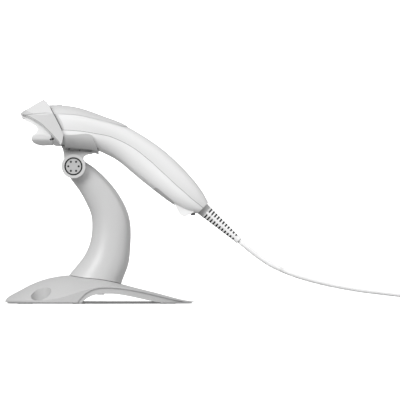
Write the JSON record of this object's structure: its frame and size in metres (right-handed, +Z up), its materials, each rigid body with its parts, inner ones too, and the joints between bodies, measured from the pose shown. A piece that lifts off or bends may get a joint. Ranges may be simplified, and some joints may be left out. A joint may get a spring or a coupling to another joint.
{
  "type": "corded hand barcode scanner on a stand",
  "caption": "Corded hand barcode scanner with a hooded nose and curved grip, resting in a tilting cradle on a curved post and a heavy domed base.",
  "frame": {"origin": "middle of the base's length and width, on the table under the rubber feet", "axes": "+X from the nose towards the cord, +Y across the width, +Z up"},
  "size_m": [0.5124, 0.1919, 0.1977],
  "materials": {
    "housing_upper": "fine moulded texture",
    "housing_lower": "fine moulded texture",
    "trim_grey": "satin",
    "hood_grey": "satin",
    "cradle_grey": "fine moulded texture",
    "stand_grey": "satin moulded",
    "base_grey": "fine moulded texture",
    "cord_white": "soft satin",
    "boot_white": "soft satin",
    "dark_rubber": "matt",
    "dark_plastic": "satin",
    "window_red": "polished",
    "lamp_clear": "polished",
    "plated_steel": "zinc plated",
    "cast_weight": "painted",
    "board_green": "satin",
    "brass": "turned",
    "magnet_metal": "plated",
    "mirror_glass": "silvered"
  },
  "bodies": {
    "stand": {"base_cover": "base_grey", "base_plate": "plated_steel", "base_feet": "dark_rubber", "base_weight": "cast_weight", "plate_screws": "plated_steel", "neck_left": "stand_grey", "neck_right": "stand_grey", "neck_screws": "plated_steel", "neck_bolts": "plated_steel", "cord_coil": "cord_white", "coil_tie": "dark_plastic", "plug_grip": "cord_white", "plug_shell": "plated_steel", "plug_tongue": "dark_plastic"},
    "cradle": {"cradle": "cradle_grey", "cradle_magnet": "magnet_metal", "pivot_bolt": "plated_steel", "pivot_nut": "plated_steel", "pivot_washers": "dark_plastic", "pivot_cap_left": "cradle_grey", "pivot_cap_right": "cradle_grey"},
    "scanner": {"upper_housing": "housing_upper", "lower_housing": "housing_lower", "top_trim": "trim_grey", "grip_label_pad": "dark_plastic", "status_light": "lamp_clear", "switch_board": "board_green", "window_block": "housing_lower", "scan_window": "window_red", "window_gasket": "dark_rubber", "nose_hood": "hood_grey", "optical_frame": "dark_plastic", "laser_module": "brass", "mirror_motor": "dark_plastic", "photodiode_board": "board_green", "main_board": "board_green", "beeper": "dark_plastic", "housing_screws": "plated_steel", "heel_plug": "dark_rubber", "cable_boot": "boot_white", "cord_jack": "dark_plastic", "jack_plug": "cord_white", "cord_tube": "cord_white"},
    "button": {"scan_button": "trim_grey"},
    "mirror": {"scan_mirror": "mirror_glass", "mirror_shaft": "plated_steel"}
  },
  "joints": [
    {"name": "cradle_tilt", "type": "hinge", "parent": "stand", "child": "cradle", "pos_m": [-0.0255, 0, 0.1331], "axis": [0, 1, 0], "range_deg": [-25, 20]},
    {"name": "scanner_lift", "type": "slide", "parent": "cradle", "child": "scanner", "axis": [0, 0, 1], "range_m": [0, 0.045]},
    {"name": "button_press", "type": "slide", "parent": "scanner", "child": "button", "axis": [0, 0, -1], "range_m": [0, 0.0006], "stiffness_N_per_m": 400, "springref_m": -0.001},
    {"name": "mirror_swing", "type": "hinge", "parent": "scanner", "child": "mirror", "pos_m": [-0.024, 0, 0.165], "axis": [0, 0, 1], "range_deg": [-8, 8]}
  ]
}
